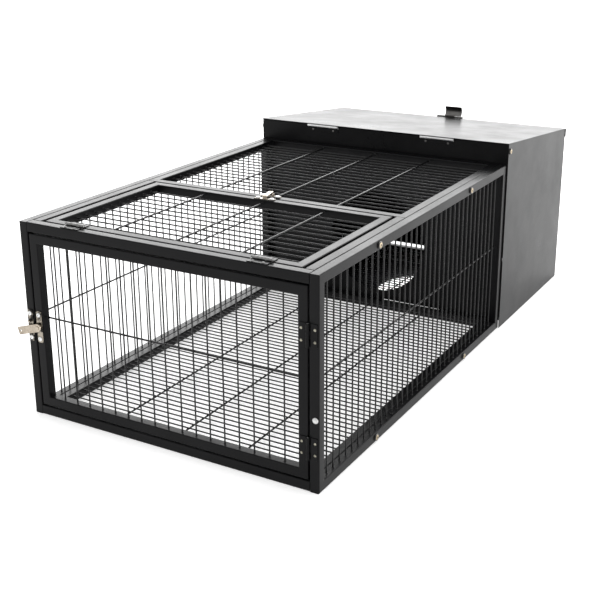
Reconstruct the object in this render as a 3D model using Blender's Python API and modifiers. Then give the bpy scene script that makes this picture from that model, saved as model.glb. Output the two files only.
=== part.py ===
"""Wire rabbit cage: a welded wire run with a front door and a lid door, and a sheet-metal shelter with a sloping roof.

Lengths are millimetres, multiplied by MM where a shape is made. Drawing axes: X right across the front,
Y back from the front face, Z up from the ground, with zero at the front left corner. The root empty moves
the whole object so that the middle of its bounding box stands on the world's origin.
"""

import math

import bmesh
import bpy
from mathutils import Matrix, Vector

MM = 0.001

# Run
WIDTH = 620.0
RUN_HEIGHT = 380.0
RUN_LENGTH = 840.0
BASE_LENGTH = 1260.0
TUBE = 18.0  # square tube
WALL = 1.0  # tube wall
PLAY = 3.0  # clearance round a door
GAP = 0.3  # clearance between pieces that touch
DRAIN_R = 2.0

# Wires
WIRE_R = 1.2
ROD_R = 1.5
WIRE_SIDES = 6
ROOTED = 0.6  # how far a wire end runs into the tube wall
STACK = WIRE_R + ROD_R + GAP  # from a wire's centre to the centre of the rod beside it
ROD_STEP = 135.0  # between the lengthwise rods
MID_ROD_Z = 197.0
SIDE_PITCH = 23.1
TOP_PITCH = 24.0
FLOOR_PITCH = 15.7
DOOR_PITCH = 30.0
DOOR_WIRES = 17
FLOOR_WIRE_Z = 14.0

# Places shared by neighbouring panels
INNER = TUBE + GAP  # from an outer face to a panel between the sides
TOP = RUN_HEIGHT - TUBE  # underside of the top panel
LID_BACK = 351.0
REAR_START = LID_BACK + PLAY
LID_EDGE = INNER + TUBE + 6.0
DOOR_LOW = TUBE + PLAY
MIDDLE = WIDTH / 2

# Shelter
SHEET = 0.8
HINGE_Y = 837.0
HINGE_Z = 424.0
SLOPE = math.atan2(40.0, 424.0)
ROOF_T = 1.0
ROOF_FRONT = HINGE_Y - 2.5
ROOF_BACK = 1262.2
ROOF_LIP = 20.0
PROUD = 1.9  # how far the cross sheets stand out past the run on each side
ROOF_EAVE = 4.4  # past the base's width on each side
DIVIDER_Y = RUN_LENGTH + GAP
DIVIDER_TOP = 424.6
BACK_Y = BASE_LENGTH + GAP + SHEET  # outer face of the back sheet
BACK_BOTTOM = 25.0
BACK_EAR = 30.0  # at each side the back sheet reaches down to the ground
BACK_TOP = 384.5
DOORWAY_R = 122.0
DOORWAY_Z = 160.0
FLOOR_SHEET_Z = 2.0
FLOOR_HOLE_X = 386.0
FLOOR_HOLE_Y = RUN_LENGTH + 138.0
FLOOR_HOLE_R = 125.0

# Hinges
LEAF_T = 1.2
KNUCKLE_R = 3.0
PIN_R = 1.5
BORE_R = 1.58
ROUND = 20  # sides of a knuckle, pin and bore
RIVET_R = 2.6
DOOR_HINGE_X = WIDTH - TUBE - PLAY / 2
DOOR_HINGE_HEIGHTS = {"upper": 278.0, "lower": 80.0}
FACE_AXIS = KNUCKLE_R + GAP  # from the face a hinge lies on to its axis
LID_HINGE_Y = TUBE + PLAY / 2
LID_HINGE_STEP = 195.0  # from the middle to each lid hinge
ROOF_HINGE_STEP = 145.0

# Latches
PLATE_T = 1.5
PLATE_WIDE = 13.0
BAR_T = 2.0
PIVOT_R = 2.5
LATCH_Z = 180.0
# Length of the plates, place of their screws, and the bar's reach, width, height over the face and tilt
FRONT_LATCH = (62.0, 23.5, 52.0, 15.5, 6.0, 17.0)
LID_LATCH = (44.0, 15.5, 40.0, 9.5, 4.6, 12.0)

# Roof catch
CATCH_X = 312.0
CATCH_WIDE = 46.0
CATCH_SHIFT = 9.0  # from the middle of the leaf to the middle of the strap
CATCH_CHORD = 25.0
CATCH_BOW = 5.5

# The middle of the bounding box in plan, latch bars and roof catch included
CENTRE_X, CENTRE_Y = 303.094, 630.250

# Finishes: base colour, metallic value and roughness
BLACK = ((0.012, 0.012, 0.013, 1.0), 0.0, 0.32)
NICKEL = ((0.62, 0.58, 0.52, 1.0), 1.0, 0.35)
BRASS = ((0.66, 0.50, 0.24, 1.0), 1.0, 0.32)

X, Y, Z = Vector((1, 0, 0)), Vector((0, 1, 0)), Vector((0, 0, 1))


def clear_scene():
    for obj in list(bpy.data.objects):
        bpy.data.objects.remove(obj, do_unlink=True)


def collection(name):
    made = bpy.data.collections.new(name)
    bpy.context.scene.collection.children.link(made)
    return made


clear_scene()
PARTS = collection("wire_rabbit_cage")
CUTTERS = collection("cutters")


# Objects


def empty(name, at, parent=None):
    """An empty at a place in the drawing."""
    made = bpy.data.objects.new(name, None)
    made.empty_display_size = 0.03
    PARTS.objects.link(made)
    made["at"] = list(at)
    put(made, at, parent)
    return made


def put(obj, at, parent):
    """Places an object at a drawing position under its parent empty."""
    if parent is None:
        obj.location = Vector(at) * MM
        return
    obj.parent = parent
    obj.location = (Vector(at) - Vector(parent["at"])) * MM


ROOT = empty("cage_root", (0, 0, 0))
ROOT.location = Vector((-CENTRE_X, -CENTRE_Y, 0.0)) * MM
FRONT_DOOR = empty("front_door_axis", (DOOR_HINGE_X, -FACE_AXIS, RUN_HEIGHT / 2), ROOT)
LID_DOOR = empty("lid_door_axis", (MIDDLE, LID_HINGE_Y, RUN_HEIGHT + FACE_AXIS), ROOT)
ROOF = empty("roof_axis", (MIDDLE, HINGE_Y, HINGE_Z), ROOT)


def finish_material(name, finish):
    colour, metal, rough = finish
    made = bpy.data.materials.new(name)
    made.use_nodes = True
    shader = made.node_tree.nodes["Principled BSDF"]
    shader.inputs["Base Color"].default_value = colour
    shader.inputs["Metallic"].default_value = metal
    shader.inputs["Roughness"].default_value = rough
    made.diffuse_color = colour
    return made


def placed(bm, name, into, parent):
    """The bmesh, drawn in drawing millimetres, as an object with its origin on its parent's."""
    at = Vector(parent["at"])
    change = Matrix.Scale(MM, 4) @ Matrix.Translation(-at)
    bmesh.ops.transform(bm, matrix=change, verts=bm.verts[:])
    mesh = bpy.data.meshes.new(name)
    bm.to_mesh(mesh)
    bm.free()
    obj = bpy.data.objects.new(name, mesh)
    into.objects.link(obj)
    put(obj, at, parent)
    return obj


def node(bm, name, finish=BLACK, parent=ROOT, smooth=False):
    obj = placed(bm, name, PARTS, parent)
    obj.data.materials.append(finish_material(name, finish))
    if smooth:
        obj.data.shade_smooth()
        obj.data.set_sharp_from_angle(angle=math.radians(35))
    return obj


def helper(bm, name, parent=ROOT):
    obj = placed(bm, name, CUTTERS, parent)
    obj.hide_render = True
    obj.display_type = "WIRE"
    return obj


def boolean(obj, other, operation):
    made = obj.modifiers.new(f"{operation.lower()}_{other.name}", "BOOLEAN")
    made.operation = operation
    made.solver = "EXACT"
    made.object = other


def join(obj, bm, name):
    boolean(obj, helper(bm, f"{obj.name}_{name}", obj.parent), "UNION")


def cut(obj, bm, name):
    boolean(obj, helper(bm, f"{obj.name}_{name}", obj.parent), "DIFFERENCE")


def thicken(obj, thickness):
    """Gives an open sheet its thickness, on the side its faces point to."""
    made = obj.modifiers.new("thickness", "SOLIDIFY")
    made.thickness = thickness * MM
    made.offset = 1.0
    made.use_even_offset = True


# Primitives, each added to a bmesh


def add_box(bm, low, high):
    low, high = Vector(low), Vector(high)
    size = Matrix.Diagonal((*(high - low), 1.0))
    return bmesh.ops.create_cube(bm, size=1.0, matrix=Matrix.Translation((low + high) / 2) @ size)["verts"]


def add_rod(bm, start, end, radius, sides=WIRE_SIDES, tip=None):
    """A cylinder from start to end, or a cone frustum where its tip has another radius."""
    start, end = Vector(start), Vector(end)
    way = end - start
    turn = way.to_track_quat("Z", "X").to_matrix().to_4x4()
    bmesh.ops.create_cone(
        bm,
        cap_ends=True,
        segments=sides,
        radius1=radius,
        radius2=radius if tip is None else tip,
        depth=way.length,
        matrix=Matrix.Translation((start + end) / 2) @ turn,
    )


def add_head(bm, base, out, radius, height, sides=16):
    """A low head with a tapered rim, standing on base."""
    base, out = Vector(base), Vector(out)
    add_rod(bm, base, base + out * height, radius, sides, tip=0.74 * radius)


def add_plate(bm, middle, along, side, out, size, corner):
    """A plate of (length, width, thickness) with clipped corners, its underside's middle at the given place."""
    frame = Matrix((along, side, out)).transposed().to_4x4()
    lift = Vector(middle) + Vector(out) * size[2] / 2
    verts = bmesh.ops.create_cube(bm, size=1.0, matrix=Matrix.Diagonal((*size, 1.0)))["verts"]
    edges = {e for v in verts for e in v.link_edges}
    upright = [e for e in edges if abs(e.verts[0].co.z - e.verts[1].co.z) > size[2] / 2]
    made = bmesh.ops.bevel(bm, geom=upright, offset=corner, segments=2, affect="EDGES", profile=0.5)
    own = set(made["verts"]) | {v for v in verts if v.is_valid}
    bmesh.ops.transform(bm, matrix=Matrix.Translation(lift) @ frame, verts=list(own))


def add_strip(bm, path, shift):
    """An open strip: a path of points pulled along shift. Its faces point to the path's left."""
    verts = [bm.verts.new(p) for p in path]
    edges = [bm.edges.new(pair) for pair in zip(verts, verts[1:])]
    made = bmesh.ops.extrude_edge_only(bm, edges=edges)["geom"]
    bmesh.ops.translate(bm, vec=shift, verts=[v for v in made if isinstance(v, bmesh.types.BMVert)])


def spread(start, end, pitch):
    """Evenly spaced places between two faces, about pitch apart."""
    spaces = round((end - start) / pitch)
    return [start + (end - start) * i / spaces for i in range(1, spaces)]


def rod_places():
    return [MIDDLE + step * ROD_STEP for step in (-1, 0, 1)]


# Welded panels: a hollow tube frame with wires rooted in its walls


def inset(low, high, axis, by):
    """A box shrunk by one amount in the two directions across an axis."""
    low, high = list(low), list(high)
    for i in range(3):
        if i != axis:
            low[i] += by
            high[i] -= by
    return low, high


def grown(low, high, axis, by):
    """A box made longer at both ends of an axis."""
    low, high = list(low), list(high)
    low[axis] -= by
    high[axis] += by
    return low, high


def panel(name, low, high, axis, wires, drain, parent=ROOT, rail=None):
    """A welded panel square to an axis. wires are (start, end, radius), and rail is one more tube across it."""
    frame = bmesh.new()
    add_box(frame, low, high)
    obj = node(frame, name, parent=parent)
    window = bmesh.new()
    add_box(window, *grown(*inset(low, high, axis, TUBE), axis, 1.0))
    cut(obj, window, "window")

    core = bmesh.new()
    hollow = grown(*inset(low, high, axis, WALL), axis, -WALL)
    add_box(core, *hollow)
    core_obj = helper(core, f"{name}_core", parent)
    island = bmesh.new()
    add_box(island, *grown(*inset(low, high, axis, TUBE - WALL), axis, 1.0))
    boolean(core_obj, helper(island, f"{name}_core_window", parent), "DIFFERENCE")
    if rail:
        tube = bmesh.new()
        add_box(tube, *rail)
        join(obj, tube, "rail")
        bore = bmesh.new()
        add_box(bore, *grown(*inset(*rail, 0, WALL), 0, 2 * WALL))
        boolean(core_obj, helper(bore, f"{name}_rail_core", parent), "UNION")
    boolean(obj, core_obj, "DIFFERENCE")

    grille = bmesh.new()
    for start, end, radius in wires:
        add_rod(grille, start, end, radius)
    join(obj, grille, "wires")
    hole = bmesh.new()
    add_rod(hole, Vector(drain) - Z * WALL, Vector(drain) + Z * 3 * WALL, DRAIN_R, 10)
    cut(obj, hole, "drain")


def side_panel(name, face_x, inward):
    mid = face_x + TUBE / 2
    low, high = TUBE - ROOTED, TOP + ROOTED
    wires = [((mid, y, low), (mid, y, high), WIRE_R) for y in spread(TUBE, RUN_LENGTH - TUBE, SIDE_PITCH)]
    rod_x = mid + inward * STACK
    wires.append(((rod_x, low, MID_ROD_Z), (rod_x, RUN_LENGTH - low, MID_ROD_Z), ROD_R))
    panel(name, (face_x, 0, 0), (face_x + TUBE, RUN_LENGTH, RUN_HEIGHT), 0, wires, (mid, 60, 0))


def level_wires(x0, x1, y0, y1, z, pitch, rod_side):
    """Cross wires between two tubes, with lengthwise rods above (1) or below (-1) them."""
    wires = [((x0 - ROOTED, y, z), (x1 + ROOTED, y, z), WIRE_R) for y in spread(y0, y1, pitch)]
    rod_z = z + rod_side * STACK
    wires += [((x, y0 - ROOTED, rod_z), (x, y1 + ROOTED, rod_z), ROD_R) for x in rod_places()]
    return wires


def floor_panel():
    """One welded panel under both the run and the shelter, with a rail between them."""
    left, right = INNER + TUBE, WIDTH - INNER - TUBE
    wires = level_wires(left, right, TUBE, RUN_LENGTH - TUBE, FLOOR_WIRE_Z, FLOOR_PITCH, -1)
    wires += level_wires(left, right, RUN_LENGTH, BASE_LENGTH - TUBE, FLOOR_WIRE_Z, FLOOR_PITCH, -1)
    shy = 0.05  # keeps the rail's faces off the frame's, so the two join cleanly
    rail = (
        (left - WALL / 3, RUN_LENGTH - TUBE, shy),
        (right + WALL / 3, RUN_LENGTH, TUBE - shy),
    )
    panel(
        "floor_panel",
        (INNER, 0, 0),
        (WIDTH - INNER, BASE_LENGTH, TUBE),
        2,
        wires,
        (INNER + TUBE / 2, 60, 0),
        rail=rail,
    )


def level_panel(name, x0, x1, y0, y1, parent=ROOT):
    """A panel of the top, with its rods above its cross wires."""
    wires = level_wires(x0 + TUBE, x1 - TUBE, y0 + TUBE, y1 - TUBE, TOP + TUBE / 2, TOP_PITCH, 1)
    drain = (x0 + TUBE / 2, y0 + 60, TOP)
    panel(name, (x0, y0, TOP), (x1, y1, RUN_HEIGHT), 2, wires, drain, parent)


def open_tube(name, low, high, axis):
    outer = bmesh.new()
    add_box(outer, low, high)
    obj = node(outer, name)
    bore = bmesh.new()
    add_box(bore, *grown(*inset(low, high, axis, WALL), axis, 1.0))
    cut(obj, bore, "bore")


def top_rails():
    """The top panel's tubes round the lid door."""
    open_tube("top_front_rail", (INNER, 0, TOP), (WIDTH - INNER, TUBE, RUN_HEIGHT), 0)
    for name, x in (("top_left_rail", INNER), ("top_right_rail", WIDTH - INNER - TUBE)):
        open_tube(name, (x, INNER, TOP), (x + TUBE, REAR_START - GAP, RUN_HEIGHT), 1)


def front_door():
    low, high = DOOR_LOW + TUBE - ROOTED, RUN_HEIGHT - DOOR_LOW - TUBE + ROOTED
    mid = TUBE / 2
    first = MIDDLE - DOOR_PITCH * (DOOR_WIRES - 1) / 2
    places = [first + DOOR_PITCH * i for i in range(DOOR_WIRES)]
    wires = [((x, mid, low), (x, mid, high), WIRE_R) for x in places]
    wires.append(((low, mid + STACK, MID_ROD_Z), (WIDTH - low, mid + STACK, MID_ROD_Z), ROD_R))
    panel(
        "front_door_panel",
        (DOOR_LOW, 0, DOOR_LOW),
        (WIDTH - DOOR_LOW, TUBE, RUN_HEIGHT - DOOR_LOW),
        1,
        wires,
        (100, mid, DOOR_LOW),
        FRONT_DOOR,
    )


# Shelter sheets


def roof_under(y):
    """Height of the roof's underside."""
    return HINGE_Z + FACE_AXIS / math.cos(SLOPE) - math.tan(SLOPE) * (y - HINGE_Y)


def round_hole(sheet, name, centre, way, radius):
    bm = bmesh.new()
    add_rod(bm, Vector(centre) - way * 10, Vector(centre) + way * 10, radius, 64)
    cut(sheet, bm, name)


def cross_sheet(name, y, bottom, top):
    """An upright sheet across the shelter. y is its front face."""
    bm = bmesh.new()
    add_box(bm, (-PROUD, y, bottom), (WIDTH + PROUD, y + SHEET, top))
    return node(bm, name)


def back_sheet():
    """The back sheet, with a gap under it between its two ears."""
    sheet = cross_sheet("shelter_back_sheet", BACK_Y - SHEET, 0.0, BACK_TOP)
    bm = bmesh.new()
    add_box(bm, (BACK_EAR, BACK_Y - 5, -5), (WIDTH - BACK_EAR, BACK_Y + 5, BACK_BOTTOM))
    cut(sheet, bm, "gap")


def side_sheet(name, x):
    """An upright sheet whose top follows the roof. x is its left face."""
    bm = bmesh.new()
    slope_gap = 2 * GAP
    corners = [
        (DIVIDER_Y, 0.0),
        (BACK_Y, 0.0),
        (BACK_Y, roof_under(BACK_Y) - slope_gap),
        (DIVIDER_Y, roof_under(DIVIDER_Y) - slope_gap),
    ]
    bm.faces.new([bm.verts.new((x, y, z)) for y, z in corners])
    thicken(node(bm, name), SHEET)


def floor_sheet():
    bm = bmesh.new()
    edge = INNER + TUBE + GAP
    back = BASE_LENGTH - TUBE - GAP
    add_box(bm, (edge, DIVIDER_Y, FLOOR_SHEET_Z), (WIDTH - edge, back, FLOOR_SHEET_Z + SHEET))
    sheet = node(bm, "shelter_floor_sheet")
    round_hole(sheet, "hole", (FLOOR_HOLE_X, FLOOR_HOLE_Y, FLOOR_SHEET_Z), Z, FLOOR_HOLE_R)


def roof():
    """The sloping sheet, its back edge bent down over the back sheet."""
    left = -ROOF_EAVE
    path = [
        (left, ROOF_FRONT, roof_under(ROOF_FRONT)),
        (left, ROOF_BACK, roof_under(ROOF_BACK)),
        (left, ROOF_BACK, roof_under(ROOF_BACK) - ROOF_LIP),
    ]
    bm = bmesh.new()
    add_strip(bm, path, X * (WIDTH + 2 * ROOF_EAVE))
    thicken(node(bm, "roof_sheet", parent=ROOF), ROOF_T)


# Hinges


class Leaf:
    """The drawing of one hinge leaf, in its own directions.

    along runs with the axis, way is where the leaf runs from the axis, and seat points from the axis to the
    face on which the leaf lies.
    """

    def __init__(self, name, axis_at, along, way, seat, parent):
        self.name, self.parent = name, parent
        self.at, self.along, self.way, self.seat = Vector(axis_at), along, way, seat

    def point(self, s, d, n):
        return self.at + self.along * s + self.way * d + self.seat * n

    def slab(self, bm, s0, s1, d0, d1, n0, n1):
        turn = Matrix((self.along, self.way, self.seat)).transposed().to_4x4()
        verts = add_box(bm, (s0, d0, n0), (s1, d1, n1))
        bmesh.ops.transform(bm, matrix=Matrix.Translation(self.at) @ turn, verts=verts)
        if turn.determinant() < 0:
            bmesh.ops.reverse_faces(bm, faces=list({f for v in verts for f in v.link_faces}))

    def plate(self, length, reach):
        bm = bmesh.new()
        self.slab(
            bm, -length / 2, length / 2, KNUCKLE_R + 0.4, reach, KNUCKLE_R - LEAF_T, KNUCKLE_R
        )
        return node(bm, self.name, parent=self.parent, smooth=True)

    def curl(self, obj, spans):
        """Joins the knuckles, and the tab that carries each, to the leaf."""
        nudge = 0.02  # keeps the joined faces apart
        for i, (s0, s1) in enumerate(spans):
            tab = bmesh.new()
            self.slab(
                tab, s0, s1, 0.0, KNUCKLE_R + 1.0, KNUCKLE_R - LEAF_T + nudge, KNUCKLE_R - nudge
            )
            join(obj, tab, f"tab_{i}")
            knuckle = bmesh.new()
            add_rod(knuckle, self.point(s0, 0, 0), self.point(s1, 0, 0), KNUCKLE_R - nudge / 2, ROUND)
            join(obj, knuckle, f"knuckle_{i}")

    def pin(self, obj, length):
        bm = bmesh.new()
        reach = length / 2 + 0.7
        add_rod(bm, self.point(-reach, 0, 0), self.point(reach, 0, 0), PIN_R, ROUND)
        join(obj, bm, "pin")

    def bore(self, obj, length):
        bm = bmesh.new()
        add_rod(bm, self.point(-length, 0, 0), self.point(length, 0, 0), BORE_R, ROUND)
        cut(obj, bm, "bore")

    def rivets(self, obj, step, reach):
        bm = bmesh.new()
        for s in (-step, step):
            add_head(bm, self.point(s, reach, KNUCKLE_R - LEAF_T + 0.2), -self.seat, RIVET_R, 1.5, 12)
        join(obj, bm, "rivets")


def knuckle_spans(length, middle):
    """Places along the axis of the middle knuckle, and of the two that hold it."""
    half = middle / 2
    inner = [(-half + GAP / 2, half - GAP / 2)]
    outer = [(-length / 2, -half - GAP / 2), (half + GAP / 2, length / 2)]
    return inner, outer


def hinge(name, axis_at, along, fixed, moving, length, reach, rivet_step, rivet_reach, moving_parent):
    """A three-knuckle hinge. fixed and moving are the (way, seat) of each leaf, and the fixed one holds the pin."""
    inner, outer = knuckle_spans(length, length / 3)
    still = Leaf(f"{name}_fixed_leaf", axis_at, along, *fixed, ROOT)
    obj = still.plate(length, reach)
    still.curl(obj, outer)
    still.pin(obj, length)
    still.rivets(obj, rivet_step, rivet_reach)
    swung = Leaf(f"{name}_moving_leaf", axis_at, along, *moving, moving_parent)
    obj = swung.plate(length, reach)
    swung.curl(obj, inner)
    swung.bore(obj, length)
    swung.rivets(obj, rivet_step, rivet_reach)


def hinges():
    for where, z in DOOR_HINGE_HEIGHTS.items():
        at = (DOOR_HINGE_X, -FACE_AXIS, z)
        hinge(f"door_{where}", at, Z, (X, Y), (-X, Y), 40.0, 17.0, 10.5, 12.5, FRONT_DOOR)
    for where, side in (("left", -1), ("right", 1)):
        at = (MIDDLE + side * LID_HINGE_STEP, LID_HINGE_Y, RUN_HEIGHT + FACE_AXIS)
        hinge(f"lid_{where}", at, X, (-Y, -Z), (Y, -Z), 40.0, 17.0, 10.5, 12.5, LID_DOOR)
        down_roof = Vector((0, math.cos(SLOPE), -math.sin(SLOPE)))
        off_roof = Vector((0, math.sin(SLOPE), math.cos(SLOPE)))
        at = (MIDDLE + side * ROOF_HINGE_STEP, HINGE_Y, HINGE_Z)
        hinge(f"roof_{where}", at, X, (-Z, Y), (down_roof, off_roof), 80.0, 14.0, 27.0, 9.5, ROOF)


# Swinging-bar latches: a plate on the door, a keeper plate beside it and a bar on a rivet


def latch_plate(name, middle, along, out, parent, length, screw_step):
    """A plate with clipped corners and a screw head near each end."""
    side = out.cross(along)
    seat = Vector(middle) + out * GAP
    bm = bmesh.new()
    add_plate(bm, seat, along, side, out, (length, PLATE_WIDE, PLATE_T), 3.0)
    obj = node(bm, name, NICKEL, parent, smooth=True)
    screws = bmesh.new()
    for step in (-screw_step, screw_step):
        add_head(screws, seat + along * step + out * (PLATE_T - 0.2), out, 4.5, 2.6)
    join(obj, screws, "screws")
    return obj


def latch(name, pivot, toward, along, out, parent, sizes):
    """pivot is on the door's face, toward points from the door to the keeper, and along runs with the plates."""
    length, screw_step, reach, bar_wide, lift, tilt = sizes
    half = bar_wide / 2
    pivot = Vector(pivot)
    plate = latch_plate(f"{name}_door_plate", pivot, along, out, parent, length, screw_step)
    spacer = bmesh.new()
    add_rod(spacer, pivot + out * (GAP + 0.5), pivot + out * (lift - GAP), 4.5, 16)
    join(plate, spacer, "spacer")
    rivet = bmesh.new()
    top = lift + BAR_T
    add_rod(rivet, pivot + out * (GAP + 0.7), pivot + out * (top + 0.8), PIVOT_R, ROUND)
    join(plate, rivet, "rivet")
    cap = bmesh.new()
    add_head(cap, pivot + out * (top + GAP), out, 4.0, 1.4, ROUND)
    join(plate, cap, "rivet_cap")

    beside = pivot + toward * DOOR_LOW
    keeper = latch_plate(f"{name}_keeper_plate", beside, along, out, ROOT, length, screw_step)
    stop = bmesh.new()
    above = beside + along * (half + 1.5) + out * (GAP + 0.5)
    add_plate(stop, above, toward, along, out, (8.0, 1.5, top - GAP - 0.5), 0.3)
    join(keeper, stop, "stop")

    tilt = math.radians(tilt)
    bar_way = toward * math.cos(tilt) - along * math.sin(tilt)
    bar_side = along * math.cos(tilt) + toward * math.sin(tilt)
    axis = empty(f"{name}_bar_axis", pivot, parent)
    bar = bmesh.new()
    middle = pivot + bar_way * (reach - half) / 2 + out * lift
    if bar_way.cross(bar_side).dot(out) < 0:
        bar_side = -bar_side
    add_plate(bar, middle, bar_way, bar_side, out, (reach + half, bar_wide, BAR_T), half - 2.0)
    obj = node(bar, f"{name}_bar", NICKEL, axis, smooth=True)
    bores = bmesh.new()
    for place, radius in ((0.0, PIVOT_R + 0.08), (reach - half, 2.0)):
        at = pivot + bar_way * place
        add_rod(bores, at + out * (lift - 2), at + out * (top + 2), radius, ROUND)
    cut(obj, bores, "bores")


def latches():
    latch("front_latch", (DOOR_LOW + TUBE / 2, 0, LATCH_Z), -X, Z, -Y, FRONT_DOOR, FRONT_LATCH)
    latch("lid_latch", (MIDDLE, LID_BACK - TUBE / 2, RUN_HEIGHT), Y, X, Z, LID_DOOR, LID_LATCH)


def roof_catch():
    """A leaf on the roof's back lip and a bowed strap that stands on its hinge."""
    at = (CATCH_X, ROOF_BACK + ROOF_T + FACE_AXIS, roof_under(ROOF_BACK) + 1.5)
    length = 72.0
    inner, outer = knuckle_spans(length, 28.0)
    still = Leaf("roof_catch_leaf", at, X, -Z, -Y, ROOF)
    obj = still.plate(length, 15.0)
    still.curl(obj, outer)
    still.pin(obj, length)
    still.rivets(obj, 26.0, 9.5)

    axis = empty("roof_catch_axis", at, ROOF)
    strap = Leaf("roof_catch_strap", at, X, Z, -Y, axis)
    radius = (CATCH_CHORD**2 / 4 + CATCH_BOW**2) / (2 * CATCH_BOW)
    half = math.asin(CATCH_CHORD / 2 / radius)
    path = []
    for i in range(13):
        a = -half + 2 * half * i / 12
        d = KNUCKLE_R + 0.4 + CATCH_CHORD / 2 + radius * math.sin(a)
        bow = radius * (math.cos(a) - math.cos(half))
        path.append(strap.point(CATCH_SHIFT - CATCH_WIDE / 2, d, KNUCKLE_R - LEAF_T - bow))
    bm = bmesh.new()
    add_strip(bm, path, X * CATCH_WIDE)
    obj = node(bm, strap.name, parent=axis, smooth=True)
    thicken(obj, LEAF_T)
    strap.curl(obj, inner)
    strap.bore(obj, length)


# Bolts and button


def fastener(name, face, out, radius, height, finish):
    bm = bmesh.new()
    add_head(bm, Vector(face) + out * GAP, out, radius, height, 18)
    node(bm, name, finish, smooth=True)


def bolts():
    """Two bolts through each long tube of a side panel, and one at the shelter's front corner."""
    for side, x, out in (("left", 0.0, -X), ("right", WIDTH, X)):
        for level, z in (("top", RUN_HEIGHT - TUBE / 2), ("bottom", TUBE / 2)):
            for end, y in (("front", RUN_LENGTH / 4), ("rear", RUN_LENGTH * 3 / 4)):
                fastener(f"bolt_{side}_{level}_{end}", (x, y, z), out, 6.5, 3.2, BRASS)
        corner = Vector((x, RUN_LENGTH + 9.0, 409.0)) + out * (PROUD + GAP + SHEET)
        fastener(f"bolt_{side}_shelter", corner, out, 6.5, 3.2, BRASS)


def main():
    side_panel("side_panel_left", 0.0, 1)
    side_panel("side_panel_right", WIDTH - TUBE, -1)
    floor_panel()
    top_rails()
    level_panel("top_rear_panel", INNER, WIDTH - INNER, REAR_START, RUN_LENGTH)
    level_panel("lid_door_panel", LID_EDGE, WIDTH - LID_EDGE, TUBE + PLAY, LID_BACK, LID_DOOR)
    front_door()
    divider = cross_sheet("divider_sheet", DIVIDER_Y, TUBE + GAP, DIVIDER_TOP)
    round_hole(divider, "doorway", (MIDDLE, DIVIDER_Y, DOORWAY_Z), Y, DOORWAY_R)
    back_sheet()
    side_sheet("shelter_left_sheet", -PROUD - GAP - SHEET)
    side_sheet("shelter_right_sheet", WIDTH + PROUD + GAP)
    floor_sheet()
    roof()
    hinges()
    latches()
    roof_catch()
    bolts()
    fastener("post_button", (WIDTH - 7.0, 0, 132.0), -Y, 5.5, 2.4, NICKEL)


main()
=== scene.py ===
"""Wire rabbit cage: the visual model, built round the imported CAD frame.

Shapes are drawn in millimetres, in the drawing axes of the CAD source: X right across the front, Y back, Z up,
with zero at the front left corner of the run. Solid.piece() puts them into the frame in metres, by ORIGIN and MM.
"""

import math

import bmesh
import bpy
from mathutils import Matrix, Vector


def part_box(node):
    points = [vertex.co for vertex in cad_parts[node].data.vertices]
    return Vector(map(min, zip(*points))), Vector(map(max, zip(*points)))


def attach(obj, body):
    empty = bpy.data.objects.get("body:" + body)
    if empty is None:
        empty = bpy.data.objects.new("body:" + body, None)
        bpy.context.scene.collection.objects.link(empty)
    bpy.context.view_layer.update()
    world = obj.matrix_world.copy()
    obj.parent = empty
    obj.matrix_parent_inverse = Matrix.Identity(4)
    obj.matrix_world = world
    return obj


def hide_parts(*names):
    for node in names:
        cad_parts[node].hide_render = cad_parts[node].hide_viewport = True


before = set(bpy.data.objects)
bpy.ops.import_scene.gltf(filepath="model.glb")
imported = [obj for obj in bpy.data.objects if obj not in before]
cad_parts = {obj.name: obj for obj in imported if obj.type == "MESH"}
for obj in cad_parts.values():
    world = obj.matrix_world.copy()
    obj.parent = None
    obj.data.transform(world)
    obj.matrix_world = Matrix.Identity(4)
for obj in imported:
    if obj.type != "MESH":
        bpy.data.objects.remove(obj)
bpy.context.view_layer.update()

MM = 0.001
X, Y, Z = Vector((1, 0, 0)), Vector((0, 1, 0)), Vector((0, 0, 1))
ORIGIN = Vector(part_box("side_panel_left")[0])


def node_box(node):
    """A CAD node's corners in the drawing, in millimetres."""
    low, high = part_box(node)
    return (low - ORIGIN) / MM, (high - ORIGIN) / MM


# Sizes of the run, in millimetres
TUBE = 18.0
EDGE_R = 1.9  # outer corner radius of a tube
WALL = 1.0
INNER_R = EDGE_R - WALL * 0.8
END_EASE, END_EASE_R = 0.25, 0.2  # how far a cut end is eased, and what its corner radius loses
MITRE_SWELL, MITRE_REACH = 1.022, 1.6  # the dressed weld along a mitre: its growth, and its reach to each side
WIDTH = node_box("side_panel_right")[1].x
RUN_HEIGHT = node_box("side_panel_right")[1].z
RUN_LENGTH = node_box("side_panel_right")[1].y
BASE_LENGTH = node_box("floor_panel")[1].y
MIDDLE = WIDTH / 2

# Wires, which stand 0.22 mm over the CAD wires and rods all round, as their coat
WIRE_R = 1.42
ROD_R = 1.72
WIRE_SIDES = 12
ROOTED = 0.6  # how far a wire end runs into its tube
STACK = 3.0  # from a wire's centre to the centre of the rod beside it
ROD_STEP = 135.0
MID_ROD_Z = 197.0
SIDE_PITCH = 23.1
TOP_PITCH = 24.0
FLOOR_PITCH = 15.7
DOOR_PITCH = 30.0
DOOR_WIRES = 17
FLOOR_WIRE_Z = 14.0
# The weld fillet at a wire's end: distance along the wire, and how far it stands out
WELD_FOOT = [(0.0, 0.95), (ROOTED, 0.9), (ROOTED + 0.5, 0.42), (ROOTED + 1.3, 0.13), (ROOTED + 2.6, 0.0)]
# The weld where two wires cross: half its height, its growth over the wire, and the least radius at its poles
NUGGET_HALF, NUGGET_SWELL, NUGGET_POLE = 1.5, 1.45, 0.02
NUGGET_RINGS, NUGGET_SIDES = 6, 10

# The floor's cross rail: its slack inside the frame's faces, its welds' height, and how flat it is
RAIL_SLACK, RAIL_WELD, RAIL_FLAT = 0.05, 0.35, 0.985
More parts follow.
